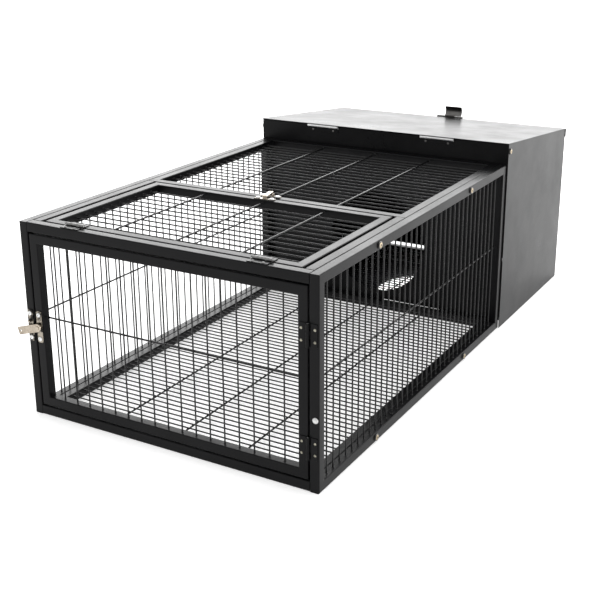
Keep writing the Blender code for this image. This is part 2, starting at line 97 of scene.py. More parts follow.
# Where a rail's weld starts inside the side tube, where it is still full, and where it has run out
RAIL_ROOT, RAIL_FULL, RAIL_OUT = 0.6, 0.3, 1.8

# Shelter
SHEET_BEVEL = 0.25
SEAM = 0.00001  # metres within which a CAD sheet's points are joined
# The folds in its rear corners: reach, thickness, how far they start before the back sheet, foot, and gap on top
FOLD_REACH, FOLD_T, FOLD_OFF = 12.0, 0.8, 0.9
FOLD_BOTTOM, FOLD_TOP_GAP, FOLD_BEVEL = 25.0, 5.0, 0.2
ROOF_T, ROOF_BEND, ROOF_BEND_STEPS, ROOF_BEVEL = 1.0, 2.4, 6, 0.3

# Hinges
KNUCKLE_R = 3.0
LEAF_T = 1.2
PIN_R = 1.5
GAP = 0.3
FACE_AXIS = KNUCKLE_R + GAP
SLOPE = math.atan2(40.0, 424.0)
DOWN_ROOF = Vector((0, math.cos(SLOPE), -math.sin(SLOPE)))
OFF_ROOF = Vector((0, math.sin(SLOPE), math.cos(SLOPE)))
LEAF_CLEAR = 0.4  # between a leaf's plate and the knuckles
LEAF_CORNER, LEAF_BEVEL = 1.6, 0.18
CURL_LAP = 1.5  # how far a rolled strip runs under its leaf
CURL_TURN, CURL_STEPS = 276, 14  # degrees that it is rolled round the pin
RIVET_R, RIVET_H = 2.6, 1.3
PIN_OVER, PIN_CHAMFER, PIN_TIP = 0.7, 0.35, 0.6
AXIS_STEP = 1.5  # from the edge of a post or rail to the hinge axis beside it
DOOR_HINGES = (("upper", 278.0), ("lower", 80.0))
LID_HINGE_STEP, ROOF_HINGE_STEP = 195.0, 145.0
ROOF_AXIS_Y, ROOF_AXIS_Z = 837.0, 424.0
# Length, reach of the leaves, and each rivet's step along the leaf and reach from the axis
SMALL_HINGE = (40.0, 17.0, 10.5, 12.5)
ROOF_HINGE = (80.0, 14.0, 27.0, 9.5)

# Latches
PLATE_T = 1.5
PLATE_WIDE = 13.0
PLATE_CORNER, PLATE_BEVEL = 3.0, 0.3
BAR_T = 2.0
TIP_CORNER = 1.6
BAR_HOLE_R, TIP_HOLE_R = 2.58, 2.0
# The spacer under the bar: radius, what it gains at its foot and loses at its rim, their heights, and its gap
SPACER_R, SPACER_EASE, SPACER_FOOT, SPACER_RIM, SPACER_SHORT = 4.5, 0.2, 0.6, 0.1, 2.0
POST_ROOT, RIVET_SHANK_R = 0.1, 2.5
LATCH_HEAD_R, LATCH_HEAD_H = 4.0, 1.6
KEEPER_STEP = 21.0  # from the pivot to the keeper plate's middle
STOP_LONG, STOP_THICK, STOP_ROOT, STOP_CORNER, STOP_BEVEL = 8.0, 1.5, 0.5, 0.35, 0.25
SCREW_TURNS = (25, 75)  # degrees that a plate's two cross recesses are turned
TIP_TRIM = 1.6  # the square tip ends this much short of the CAD bar's clipped one, to stay in its box
# Length of the plates, place of their screws, and the bar's reach, width, height over the face and tilt
FRONT_LATCH = (62.0, 23.5, 52.0, 15.5, 6.0, 17.0)
LID_LATCH = (44.0, 15.5, 40.0, 9.5, 4.6, 12.0)
FRONT_LATCH_AT = (30.0, 0, 180.0)
LID_LATCH_Y = 342.0

# Roof catch: its middle, its leaf's length, reach and rivets, and its bowed strap
CATCH_X = 312.0
CATCH_LENGTH, CATCH_REACH, CATCH_KNUCKLE = 72.0, 15.0, 28.0
CATCH_RIVETS = [(-26.0, 9.5), (26.0, 9.5)]
STRAP_CHORD, STRAP_BOW, STRAP_WIDE, STRAP_SHIFT = 25.0, 5.5, 46.0, 9.0
STRAP_LAP, STRAP_STEPS, STRAP_BEVEL = 1.4, 24, 0.25

# Heads, as (height, radius) from the seat up, and a dome in shares of its height and radius
SCREW_HEAD = [(0, 4.5), (0.8, 4.5), (1.5, 4.25), (2.1, 3.6), (2.5, 2.4), (2.62, 0.2)]
BOLT_HEAD = [(0, 4.9), (2.4, 4.9), (2.9, 4.6), (3.15, 3.9), (3.2, 0.3)]
# The cross recess: its slot's half length and its height, at its floor and at its top
RECESS_LOW, RECESS_HIGH = (0.9, 0.8), (2.5, 3.0)
SOCKET_FLOOR, SOCKET_R, SOCKET_DEEP = 1.2, 2.4, 3.0
CUP_WASHER = [(0, 6.5), (2.3, 6.5), (2.7, 6.0), (2.7, 3.0)]
SUNK = 0.2  # how far a head goes into its seat
DOME = [(0.22, 1.0), (0.5, 0.93), (0.78, 0.72), (0.94, 0.4), (1.0, 0.05)]
BUTTON_R, BUTTON_H = 5.5, 2.4

# Degrees. Edges past the first are rounded, or stay sharp where nothing is rounded. On a rounded piece, edges
# stay sharp past the second.
SHARP_ANGLE, BEVELLED_ANGLE = 35.0, 60.0

# Materials: noise scales, and how much of the fine pattern goes into the roughness
COAT_CLOUD, COAT_PEEL, SHEET_WAVE = 11.0, 1300.0, 5.5
COAT_DARK, COAT_LIGHT = (0.0022, 0.0022, 0.0026), (0.0048, 0.0048, 0.0052)
COAT_GLOSS, SCRATCH_GLOSS = 0.05, 0.14
SCRATCH_SCALE = 900.0
# How far the slow changes take the roughness down and up
COAT_FALL, COAT_RISE, METAL_SWING = 0.05, 0.04, 0.07
VIEWPORT_BLACK = (0.012, 0.012, 0.013, 1.0)

# Studio, in metres and degrees. The places of the shelter lamp and the camera are in drawing millimetres.
FLOOR_HALF, FLOOR_DROP = 30.0, 0.0005
FLOOR_DARK, FLOOR_LIGHT = (0.84, 0.84, 0.84), (0.87, 0.87, 0.87)
FLOOR_CLOUD, FLOOR_ROUGH, FLOOR_SPECULAR = 0.7, 0.7, 0.2
FLOOR_GLOW, WORLD_GLOW = 0.38, 1.05
# Name, place, aim, size and radiance of each softbox
SOFTBOXES = (
    ("rear_low_softbox", (-1.0, 3.8, 0.7), (0, 0.4, 0.4), (7.0, 1.2), 1.75),
    ("rear_high_softbox", (-1.2, 3.8, 2.3), (0, 0.0, 0.4), (7.0, 1.7), 5.2),
    ("right_softbox", (3.2, 2.2, 0.9), (0.2, 0.2, 0.2), (2.6, 1.8), 2.9),
    ("top_softbox", (0.3, 0.4, 3.2), (0, 0, 0), (3.0, 3.0), 0.8),
)
LAMP_AT, LAMP_SIZE, LAMP_RADIANCE, LAMP_SPREAD = (285.0, 1022.0, 350.0), (0.1, 0.1), 8.0, 42.0
CAMERA_AT = (1365.6, -1344.8, 910.8)
PITCH, YAW, ROLL = 18.22, -30.10, -0.31
FOCAL, SENSOR, SHIFT_Y = 63.91, 36.0, -0.0667


# Materials


def graph(name):
    made = bpy.data.materials.new(name)
    made.use_nodes = True
    return made, made.node_tree, made.node_tree.nodes["Principled BSDF"]


def object_space(tree, stretch=(1, 1, 1)):
    coords = tree.nodes.new("ShaderNodeTexCoord")
    mapping = tree.nodes.new("ShaderNodeMapping")
    mapping.inputs["Scale"].default_value = stretch
    tree.links.new(coords.outputs["Object"], mapping.inputs["Vector"])
    return mapping.outputs["Vector"]


def noise(tree, where, scale, detail=3.0, rough=0.5):
    made = tree.nodes.new("ShaderNodeTexNoise")
    made.inputs["Scale"].default_value = scale
    made.inputs["Detail"].default_value = detail
    made.inputs["Roughness"].default_value = rough
    tree.links.new(where, made.inputs["Vector"])
    return made.outputs["Fac"]


def ranged(tree, value, low, high, from_low=0.3, from_high=0.7):
    made = tree.nodes.new("ShaderNodeMapRange")
    made.inputs["From Min"].default_value = from_low
    made.inputs["From Max"].default_value = from_high
    made.inputs["To Min"].default_value = low
    made.inputs["To Max"].default_value = high
    tree.links.new(value, made.inputs["Value"])
    return made.outputs["Result"]


def blended(tree, factor, first, second):
    made = tree.nodes.new("ShaderNodeMix")
    made.data_type = "RGBA"
    made.inputs["A"].default_value = (*first, 1.0)
    made.inputs["B"].default_value = (*second, 1.0)
    tree.links.new(factor, made.inputs["Factor"])
    return made.outputs["Result"]


def bumped(tree, height, distance, under=None):
    made = tree.nodes.new("ShaderNodeBump")
    made.inputs["Strength"].default_value = 1.0
    made.inputs["Distance"].default_value = distance
    tree.links.new(height, made.inputs["Height"])
    if under is not None:
        tree.links.new(under, made.inputs["Normal"])
    return made.outputs["Normal"]


def varied_gloss(tree, shader, fine, share, slow):
    """Roughness that changes slowly, with a share of a fine pattern on it."""
    gloss = tree.nodes.new("ShaderNodeMath")
    gloss.operation = "MULTIPLY_ADD"
    gloss.inputs[1].default_value = share
    tree.links.new(fine, gloss.inputs[0])
    tree.links.new(slow, gloss.inputs[2])
    tree.links.new(gloss.outputs[0], shader.inputs["Roughness"])


def powder_coat(name, rough, peel, wave=0.0, specular=0.115):
    """Black powder coat: fine orange peel, slow changes of tone and gloss, and a wave where it is given."""
    made, tree, shader = graph(name)
    where = object_space(tree)
    cloud = noise(tree, where, COAT_CLOUD, detail=4.0, rough=0.6)
    fine = noise(tree, where, COAT_PEEL, detail=2.0)
    tint = blended(tree, ranged(tree, cloud, 0.0, 1.0), COAT_DARK, COAT_LIGHT)
    tree.links.new(tint, shader.inputs["Base Color"])
    varied_gloss(tree, shader, fine, COAT_GLOSS, ranged(tree, cloud, rough - COAT_FALL, rough + COAT_RISE))
    shader.inputs["Specular IOR Level"].default_value = specular
    normal = None
    if wave:
        normal = bumped(tree, noise(tree, where, SHEET_WAVE, detail=1.0), wave)
    normal = bumped(tree, fine, peel, normal)
    tree.links.new(normal, shader.inputs["Normal"])
    made.diffuse_color = VIEWPORT_BLACK
    return made


def metal(name, light, dark, rough, stretch, patch=30.0, mottle=0.2, scratch=0.00002):
    """Plated metal: fine scratches along one direction, and patches of a lighter and a darker colour: random tone
    where the two are close, painted highlights and shade where they are far apart.
    """
    made, tree, shader = graph(name)
    drawn = noise(tree, object_space(tree, stretch), SCRATCH_SCALE, rough=0.6)
    cloud = noise(tree, object_space(tree), patch, detail=5.0, rough=0.65)
    mixed = ranged(tree, cloud, 0.0, 1.0, 0.5 - mottle, 0.5 + mottle)
    tree.links.new(blended(tree, mixed, light, dark), shader.inputs["Base Color"])
    slow = ranged(tree, cloud, rough - METAL_SWING, rough + METAL_SWING)
    varied_gloss(tree, shader, drawn, SCRATCH_GLOSS, slow)
    shader.inputs["Metallic"].default_value = 1.0
    tree.links.new(bumped(tree, drawn, scratch), shader.inputs["Normal"])
    made.diffuse_color = (*light, 1.0)
    return made


COAT = powder_coat("black_powder_coat", 0.30, 0.00002)
WIRE_COAT = powder_coat("black_wire_coat", 0.26, 0.00001, specular=0.28)
SHEET_COAT = powder_coat("black_sheet_coat", 0.29, 0.000014, wave=0.0006)
NICKEL = metal("nickel_plate", (0.50, 0.44, 0.36), (0.24, 0.205, 0.165), 0.24, (1, 0.05, 1), patch=90.0)
# Latch plates: nickel whose sharp light and near-black patches are painted highlights and painted shade
NICKEL_SHEEN_SHADE = metal(
    "nickel_painted_sheen_shade_plate", (0.30, 0.27, 0.225), (0.018, 0.017, 0.016), 0.22, (1, 1, 0.1), patch=80.0, mottle=0.06
)
ZINC = metal("zinc_plate", (0.82, 0.82, 0.81), (0.62, 0.62, 0.62), 0.26, (0.2, 1, 1), patch=160.0)
BUTTON_ZINC = metal(
    "button_zinc_plate", (0.62, 0.62, 0.61), (0.42, 0.42, 0.42), 0.28, (0.2, 1, 1), patch=260.0, mottle=0.1
)
BRASS = metal("brass_plate", (0.52, 0.43, 0.29), (0.32, 0.25, 0.15), 0.30, (1, 1, 0.1), patch=160.0)
SATIN = metal("satin_plate", (0.27, 0.27, 0.265), (0.12, 0.12, 0.12), 0.30, (0.2, 1, 1), patch=160.0)
# Door hinge rivets: olive zinc whose light and near-black patches are painted glints and painted shade on each
# rivet
ZINC_PAINTED_GLINTS = metal("olive_zinc_painted_glints_plate", (0.46, 0.44, 0.36), (0.045, 0.043, 0.032), 0.20, (1, 0.3, 1), patch=420.0)
DARK_STEEL = metal("dark_steel", (0.16, 0.155, 0.15), (0.09, 0.088, 0.085), 0.30, (0.1, 1, 1), patch=60.0)


# Meshes


class Solid:
    """Closed shapes in drawing millimetres, collected into one piece."""

    def __init__(self):
        self.points, self.faces = [], []

    def add(self, points, faces):
        base = len(self.points)
        self.points += [Vector(p) for p in points]
        self.faces += [[base + i for i in face] for face in faces]

    def loft(self, rings, loop=False):
        """Joins rings of equal length, one after the other, and closes the ends unless they form a loop."""
        size = len(rings[0])
        points = [p for ring in rings for p in ring]
        faces = []
        pairs = [(i, i + 1) for i in range(len(rings) - 1)]
        if loop:
            pairs.append((len(rings) - 1, 0))
        for a, b in pairs:
            for i in range(size):
                j = (i + 1) % size
                faces.append([a * size + i, a * size + j, b * size + j, b * size + i])
        if not loop:
            faces.append(list(range(size))[::-1])
            faces.append([(len(rings) - 1) * size + i for i in range(size)])
        self.add(points, faces)

    def turned(self, start, way, profile, sides=24):
        """A profile of (distance along way, radius) turned round a line."""
        start, way = Vector(start), Vector(way).normalized()
        side = way.orthogonal().normalized()
        other = way.cross(side)
        turns = [2 * math.pi * i / sides for i in range(sides)]
        rings = [
            [start + way * s + (side * math.cos(a) + other * math.sin(a)) * r for a in turns]
            for s, r in profile
        ]
        self.loft(rings)

    def pulled(self, outline, shift):
        """An outline, a list of points in one plane, pulled along shift."""
        shift = Vector(shift)
        self.loft([[Vector(p) for p in outline], [Vector(p) + shift for p in outline]])

    def stamp(self, template, at, axes):
        """Another solid, placed with its x, y and z along the given axes."""
        turn = Matrix(axes).transposed()
        self.add([Vector(at) + turn @ p for p in template.points], template.faces)

    def linked(self, name, places):
        """An object with this solid's faces between the given places, all facing outwards."""
        mesh = bpy.data.meshes.new(name)
        mesh.from_pydata(places, [], self.faces)
        bm = bmesh.new()
        bm.from_mesh(mesh)
        bmesh.ops.recalc_face_normals(bm, faces=bm.faces[:])
        bm.to_mesh(mesh)
        bm.free()
        obj = bpy.data.objects.new(name, mesh)
        bpy.context.scene.collection.objects.link(obj)
        return obj

    def piece(self, name, material, body, slot, bevel=0.0, replaces=()):
        """A visible piece in metres, which rides on a body and stands for the CAD nodes it replaces."""
        obj = self.linked(name, [ORIGIN + p * MM for p in self.points])
        obj.data.materials.append(material)
        finish_edges(obj, bevel)
        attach(obj, body)
        if replaces:
            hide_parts(*replaces)


def finish_edges(obj, bevel):
    """Rounds the sharp edges, shades the mesh smooth and keeps its flats flat."""
    obj.data.shade_smooth()
    if bevel:
        rounded = obj.modifiers.new("edges", "BEVEL")
        rounded.width = bevel * MM
        rounded.segments = 2
        rounded.limit_method = "ANGLE"
        rounded.angle_limit = math.radians(SHARP_ANGLE)
        rounded.harden_normals = False
    obj.data.set_sharp_from_angle(angle=math.radians(BEVELLED_ANGLE if bevel else SHARP_ANGLE))
    even = obj.modifiers.new("normals", "WEIGHTED_NORMAL")
    even.keep_sharp = True


def rounded_square(half, radius, steps=3):
    """Points round a square of the given half width."""
    points = []
    for turn in range(4):
        for i in range(steps + 1):
            a = math.pi / 2 * (turn + i / steps)
            corner = math.pi / 4 + math.pi / 2 * turn
            reach = (half - radius) * math.sqrt(2)
            points.append(
                (
                    reach * math.cos(corner) + radius * math.cos(a),
                    reach * math.sin(corner) + radius * math.sin(a),
                )
            )
    return points


def tube_frame(solid, low, high, axis):
    """A frame of square tube, mitred at its corners, with a low dressed weld along each mitre."""
    low, high = Vector(low), Vector(high)
    half = TUBE / 2
    u, v = [i for i in range(3) if i != axis]
    normal = Vector((axis == 0, axis == 1, axis == 2))
    across = (low[axis] + high[axis]) / 2
    corners = []
    for su, sv in ((-1, -1), (1, -1), (1, 1), (-1, 1)):
        at = Vector()
        at[axis] = across
        at[u] = (low[u] + half) if su < 0 else (high[u] - half)
        at[v] = (low[v] + half) if sv < 0 else (high[v] - half)
        out = Vector()
        out[u], out[v] = su, sv
        corners.append((at, out))
    flat = rounded_square(half, EDGE_R)
    proud = [(a * MITRE_SWELL, b * MITRE_SWELL) for a, b in flat]
    rings = []
    for i, (at, out) in enumerate(corners):
        before = (corners[i - 1][0] - at).normalized()
        after = (corners[(i + 1) % 4][0] - at).normalized()
        for shift, profile in ((before * MITRE_REACH, flat), (Vector(), proud), (after * MITRE_REACH, flat)):
            rings.append([at + shift + out * a + normal * b for a, b in profile])
    solid.loft(rings, loop=True)


def straight_tube(solid, low, high, axis):
    """An open length of square tube."""
    low, high = Vector(low), Vector(high)
    u, v = [i for i in range(3) if i != axis]
    middle = (low + high) / 2
    outer = rounded_square(TUBE / 2, EDGE_R)
    inner = rounded_square(TUBE / 2 - WALL, INNER_R)

    def ring(profile, along):
        points = []
        for a, b in profile:
            p = Vector(middle)
            p[axis] = along
            p[u] += a
            p[v] += b
            points.append(p)
        return points

    start, end = low[axis], high[axis]
    small = rounded_square(TUBE / 2 - END_EASE, EDGE_R - END_EASE_R)
    rings = [ring(small, start), ring(outer, start + END_EASE), ring(outer, end - END_EASE), ring(small, end)]
    rings += [ring(inner, end), ring(inner, start)]
    solid.loft(rings, loop=True)


def wire(solid, start, end, radius):
    """A round wire between two tubes, with a weld fillet where it meets each."""
    start, end = Vector(start), Vector(end)
    length = (end - start).length
    profile = [(s, radius + more) for s, more in WELD_FOOT]
    profile += [(length - s, radius + more) for s, more in WELD_FOOT[::-1]]
    solid.turned(start, end - start, profile, WIRE_SIDES)


def nugget(solid, at, across, radius):
    """The weld where two wires cross, flattened along the direction across them."""
    profile = []
    for i in range(NUGGET_RINGS + 1):
        a = math.pi * i / NUGGET_RINGS
        profile.append((-NUGGET_HALF * math.cos(a), max(NUGGET_POLE, radius * NUGGET_SWELL * math.sin(a))))
    solid.turned(Vector(at), across, profile, NUGGET_SIDES)


def spread(start, end, pitch):
    """Even places between start and end, as near to the pitch as fits."""
    spaces = round((end - start) / pitch)
    return [start + (end - start) * i / spaces for i in range(1, spaces)]


def rod_places():
    return [MIDDLE + step * ROD_STEP for step in (-1, 0, 1)]


BLACK_SLOT, NICKEL_SLOT, BRASS_SLOT = "black_powder_coat", "nickel_hardware", "brass_bolt"


def frame_piece(tubes, name, body):
    tubes.piece(f"{name}_frame", COAT, body, BLACK_SLOT, replaces=(name,))


def wires_piece(wires, name, body):
    wires.piece(f"{name}_wires", WIRE_COAT, body, BLACK_SLOT, replaces=(name,))


def side_panel(name, inward):
    low, high = node_box(name)
    mid = (low.x + high.x) / 2
    tubes = Solid()
    tube_frame(tubes, low, high, 0)
    frame_piece(tubes, name, "cage")
    wires = Solid()
    bottom, top = low.z + TUBE - ROOTED, high.z - TUBE + ROOTED
    rod_x = mid + inward * STACK
    for y in spread(low.y + TUBE, high.y - TUBE, SIDE_PITCH):
        wire(wires, (mid, y, bottom), (mid, y, top), WIRE_R)
        nugget(wires, (mid + inward * STACK / 2, y, MID_ROD_Z), X, WIRE_R)
    wire(wires, (rod_x, low.y + TUBE - ROOTED, MID_ROD_Z), (rod_x, high.y - TUBE + ROOTED, MID_ROD_Z), ROD_R)
    wires_piece(wires, name, "cage")


def level_wires(solid, x0, x1, y0, y1, z, pitch, rod_side):
    """Cross wires between two tubes, with lengthwise rods above (1) or below (-1) them."""
    rod_z = z + rod_side * STACK
    for y in spread(y0, y1, pitch):
        wire(solid, (x0 - ROOTED, y, z), (x1 + ROOTED, y, z), WIRE_R)
        for x in rod_places():
            nugget(solid, (x, y, z + rod_side * STACK / 2), Z, WIRE_R)
    for x in rod_places():
        wire(solid, (x, y0 - ROOTED, rod_z), (x, y1 + ROOTED, rod_z), ROD_R)


def level_panel(name, body):
    low, high = node_box(name)
    low.z = high.z - TUBE
    tubes = Solid()
    tube_frame(tubes, low, high, 2)
    frame_piece(tubes, name, body)
    wires = Solid()
    z = low.z + TUBE / 2
    level_wires(wires, low.x + TUBE, high.x - TUBE, low.y + TUBE, high.y - TUBE, z, TOP_PITCH, 1)
    wires_piece(wires, name, body)


def floor_panel():
    name = "floor_panel"
    low, high = node_box(name)
    tubes = Solid()
    tube_frame(tubes, low, high, 2)
    half = TUBE / 2
    rail_y = RUN_LENGTH - half
    profile = rounded_square(half - RAIL_SLACK, EDGE_R)
    weld = rounded_square(half + RAIL_WELD, EDGE_R)
    rings = []
    left, right = low.x + TUBE, high.x - TUBE
    for x, ring in (
        (left - RAIL_ROOT, weld),
        (left + RAIL_FULL, weld),
        (left + RAIL_OUT, profile),
        (right - RAIL_OUT, profile),
        (right - RAIL_FULL, weld),
        (right + RAIL_ROOT, weld),
    ):
        rings.append([Vector((x, rail_y + a, half + b * RAIL_FLAT)) for a, b in ring])
    tubes.loft(rings)
    frame_piece(tubes, name, "cage")
    wires = Solid()
    level_wires(wires, left, right, TUBE, RUN_LENGTH - TUBE, FLOOR_WIRE_Z, FLOOR_PITCH, -1)
    level_wires(wires, left, right, RUN_LENGTH, BASE_LENGTH - TUBE, FLOOR_WIRE_Z, FLOOR_PITCH, -1)
    wires_piece(wires, name, "cage")


def front_door():
    name = "front_door_panel"
    low, high = node_box(name)
    high.y = low.y + TUBE
    tubes = Solid()
    tube_frame(tubes, low, high, 1)
    frame_piece(tubes, name, "front_door")
    wires = Solid()
    mid = low.y + TUBE / 2
    bottom, top = low.z + TUBE - ROOTED, high.z - TUBE + ROOTED
    first = MIDDLE - DOOR_PITCH * (DOOR_WIRES - 1) / 2
    for i in range(DOOR_WIRES):
        x = first + DOOR_PITCH * i
        wire(wires, (x, mid, bottom), (x, mid, top), WIRE_R)
        nugget(wires, (x, mid + STACK / 2, MID_ROD_Z), Y, WIRE_R)
    rod_y = mid + STACK
    wire(wires, (low.x + TUBE - ROOTED, rod_y, MID_ROD_Z), (high.x - TUBE + ROOTED, rod_y, MID_ROD_Z), ROD_R)
    wires_piece(wires, name, "front_door")


def top_rails():
    for name, axis in (("top_front_rail", 0), ("top_left_rail", 1), ("top_right_rail", 1)):
        low, high = node_box(name)
        tube = Solid()
        straight_tube(tube, low, high, axis)
        tube.piece(name + "_tube", COAT, "cage", BLACK_SLOT, replaces=(name,))


# Shelter


def kept(name):
    """A CAD sheet that is shown as it is, with its edges eased and a finish of its own."""
    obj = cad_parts[name]
    obj.data.materials.clear()
    obj.data.materials.append(SHEET_COAT)
    weld = obj.modifiers.new("weld", "WELD")
    weld.merge_threshold = SEAM
    finish_edges(obj, SHEET_BEVEL)


def thick_outline(path, thickness):
    """The outline of a sheet whose outer face follows a path in the YZ plane."""
    inner = []
    for i, p in enumerate(path):
        ways = []
        if i:
            ways.append((p - path[i - 1]).normalized())
        if i < len(path) - 1:
            ways.append((path[i + 1] - p).normalized())
        sides = [Vector((0, w.z, -w.y)) for w in ways]
        middle = sum(sides, Vector()).normalized()
        inner.append(p + middle * thickness / middle.dot(sides[0]))
    return list(path) + inner[::-1]


def arc(centre, radius, start, end, steps, u, v):
    """Points on an arc in the plane of u and v, angles in degrees."""
    points = []
    for i in range(steps + 1):
        a = math.radians(start + (end - start) * i / steps)
        points.append(Vector(centre) + u * radius * math.cos(a) + v * radius * math.sin(a))
    return points


def folds():
    """The narrow folds inside the shelter that close the corners behind the side sheets."""
    low, high = node_box("shelter_back_sheet")
    inside = node_box("shelter_left_sheet")[1].x, node_box("shelter_right_sheet")[0].x
    solid = Solid()
    for x, step in ((inside[0], FOLD_REACH), (inside[1], -FOLD_REACH)):
        corner = Vector((x, low.y - FOLD_OFF, FOLD_BOTTOM))
        outline = [corner, corner + X * step, corner + X * step + Y * FOLD_T, corner + Y * FOLD_T]
        solid.pulled(outline, Z * (high.z - (FOLD_BOTTOM + FOLD_TOP_GAP)))
    solid.piece("shelter_corner_folds", SHEET_COAT, "cage", BLACK_SLOT, bevel=FOLD_BEVEL)


def roof():
    """The sloping sheet, with a bent rear lip."""
    low, high = node_box("roof_sheet")
    front = Vector((0, low.y, high.z))
    run = (high.y - low.y) / math.cos(SLOPE)
    corner = front + DOWN_ROOF * run
    tilt = math.degrees(SLOPE)
    reach = ROOF_BEND * math.tan(math.radians(90 - tilt) / 2)
    start = corner - DOWN_ROOF * reach
    centre = start - OFF_ROOF * ROOF_BEND
    path = [front]
    path += arc(centre, ROOF_BEND, 90 - tilt, 0.0, ROOF_BEND_STEPS, Y, Z)
    path.append(Vector((0, high.y, low.z)))
    sheet = Solid()
    outline = [Vector((low.x, p.y, p.z)) for p in thick_outline(path, ROOF_T)]
    sheet.pulled(outline, X * (high.x - low.x))
    sheet.piece("roof_cover", SHEET_COAT, "roof", BLACK_SLOT, bevel=ROOF_BEVEL, replaces=("roof_sheet",))


# Hardware


class Leaf:
    """Directions of one hinge leaf: along its axis, the way it runs from the axis, and the seat behind it."""

    def __init__(self, axis_at, along, way, seat):
        self.at, self.along, self.way, self.seat = Vector(axis_at), along, way, seat

    def point(self, s, d, n):
        return self.at + self.along * s + self.way * d + self.seat * n


def curl(solid, leaf, s0, s1, reach):
    """A strip of the leaf rolled round the pin."""
    mid = KNUCKLE_R - LEAF_T / 2
    path = [(reach, mid), (0.0, mid)]
    for i in range(1, CURL_STEPS + 1):
        a = math.radians(90 + CURL_TURN * i / CURL_STEPS)
        path.append((mid * math.cos(a), mid * math.sin(a)))
    outer, inner = [], []
    for i, (d, n) in enumerate(path):
        if i < 2:
            out = (0.0, 1.0)
        else:
            size = math.hypot(d, n)
            out = (d / size, n / size)
        outer.append((d + out[0] * LEAF_T / 2, n + out[1] * LEAF_T / 2))
        inner.append((d - out[0] * LEAF_T / 2, n - out[1] * LEAF_T / 2))
    outline = [leaf.point(s0, d, n) for d, n in outer + inner[::-1]]
    solid.pulled(outline, leaf.along * (s1 - s0))


def rounded_plate(solid, middle, along, side, out, size, radius, steps=4):
    """A plate of (length, width, thickness) with round corners, its underside's middle at the given place."""
    outline = []
    for turn, (sa, sb) in enumerate(((1, 1), (-1, 1), (-1, -1), (1, -1))):
        for i in range(steps + 1):
            a = math.pi / 2 * (turn + i / steps)
            outline.append(
                Vector(middle)
                + along * (sa * (size[0] / 2 - radius) + radius * math.cos(a))
                + side * (sb * (size[1] / 2 - radius) + radius * math.sin(a))
            )
    solid.pulled(outline, out * size[2])


def dome(solid, base, out, radius, height, sides=24):
    """A round head with a short straight rim."""
    profile = [(-SUNK, radius)] + [(height * up, radius * wide) for up, wide in DOME]
    solid.turned(base, out, profile, sides)


def leaf_piece(
    name, node, leaf, length, reach, spans, body, rivets, rivet_metal, material=COAT, rolled=None
):
    """A leaf with its rivets and rolled knuckles, which are a piece of their own if rolled is a material."""
    solid = Solid()
    inner = KNUCKLE_R + LEAF_CLEAR
    middle = leaf.point(0, (inner + reach) / 2, KNUCKLE_R)
    size = (length, reach - inner, LEAF_T)
    rounded_plate(solid, middle, leaf.along, leaf.way, -leaf.seat, size, LEAF_CORNER)
    rolls = Solid() if rolled else solid
    for s0, s1 in spans:
        curl(rolls, leaf, s0, s1, inner + CURL_LAP)
    if rolled:
        rolls.piece(f"{name}_knuckles", rolled, body, NICKEL_SLOT, bevel=LEAF_BEVEL, replaces=(node,))
    solid.piece(name, material, body, BLACK_SLOT, bevel=LEAF_BEVEL, replaces=(node,))
    heads = Solid()
    for s, d in rivets:
        dome(heads, leaf.point(s, d, KNUCKLE_R - LEAF_T), -leaf.seat, RIVET_R, RIVET_H)
    heads.piece(f"{name}_rivets", rivet_metal, body, NICKEL_SLOT, replaces=(node,))


def knuckle_spans(length, middle):
    """The spans along the axis of the middle knuckle, and of the two outer ones."""
    half = middle / 2
    inner = [(-half + GAP / 2, half - GAP / 2)]
    outer = [(-length / 2, -half - GAP / 2), (half + GAP / 2, length / 2)]
    return inner, outer


def pin_piece(name, node, leaf, length, body):
    reach = length / 2 + PIN_OVER
    pin = Solid()
    tip, end = PIN_R * PIN_TIP, 2 * reach
    profile = [(0, tip), (PIN_CHAMFER, PIN_R), (end - PIN_CHAMFER, PIN_R), (end, tip)]
    pin.turned(leaf.point(-reach, 0, 0), leaf.along, profile, sides=20)
    pin.piece(name, ZINC, body, NICKEL_SLOT, replaces=(node,))


def hinge(name, axis_at, along, fixed, moving, sizes, body, rivet_metal, rolled=None):
    """A three-knuckle hinge. sizes holds its length, the leaves' reach, and each rivet's step and reach."""
    length, reach, rivet_step, rivet_reach = sizes
    inner, outer = knuckle_spans(length, length / 3)
    rivets = [(-rivet_step, rivet_reach), (rivet_step, rivet_reach)]
    still, swung = Leaf(axis_at, along, *fixed), Leaf(axis_at, along, *moving)
    for leaf, spans, kind, rides in ((still, outer, "fixed", "cage"), (swung, inner, "moving", body)):
        node = f"{name}_{kind}_leaf"
        plate = f"{name}_{kind}_plate"
        leaf_piece(plate, node, leaf, length, reach, spans, rides, rivets, rivet_metal, rolled=rolled)
    pin_piece(f"{name}_pin", f"{name}_fixed_leaf", still, length, "cage")


def hinges():
    door_x = WIDTH - TUBE - AXIS_STEP
    for where, z in DOOR_HINGES:
        at = (door_x, -FACE_AXIS, z)
        # The door hinge rivets carry painted glints and painted shade in their metal
        hinge(f"door_{where}", at, Z, (X, Y), (-X, Y), SMALL_HINGE, "front_door", ZINC_PAINTED_GLINTS)
    for where, side in (("left", -1), ("right", 1)):
        at = (MIDDLE + side * LID_HINGE_STEP, TUBE + AXIS_STEP, RUN_HEIGHT + FACE_AXIS)
        hinge(f"lid_{where}", at, X, (-Y, -Z), (Y, -Z), SMALL_HINGE, "lid_door", SATIN, SATIN)
        at = (MIDDLE + side * ROOF_HINGE_STEP, ROOF_AXIS_Y, ROOF_AXIS_Z)
        hinge(f"roof_{where}", at, X, (-Z, Y), (DOWN_ROOF, OFF_ROOF), ROOF_HINGE, "roof", DARK_STEEL, ZINC)


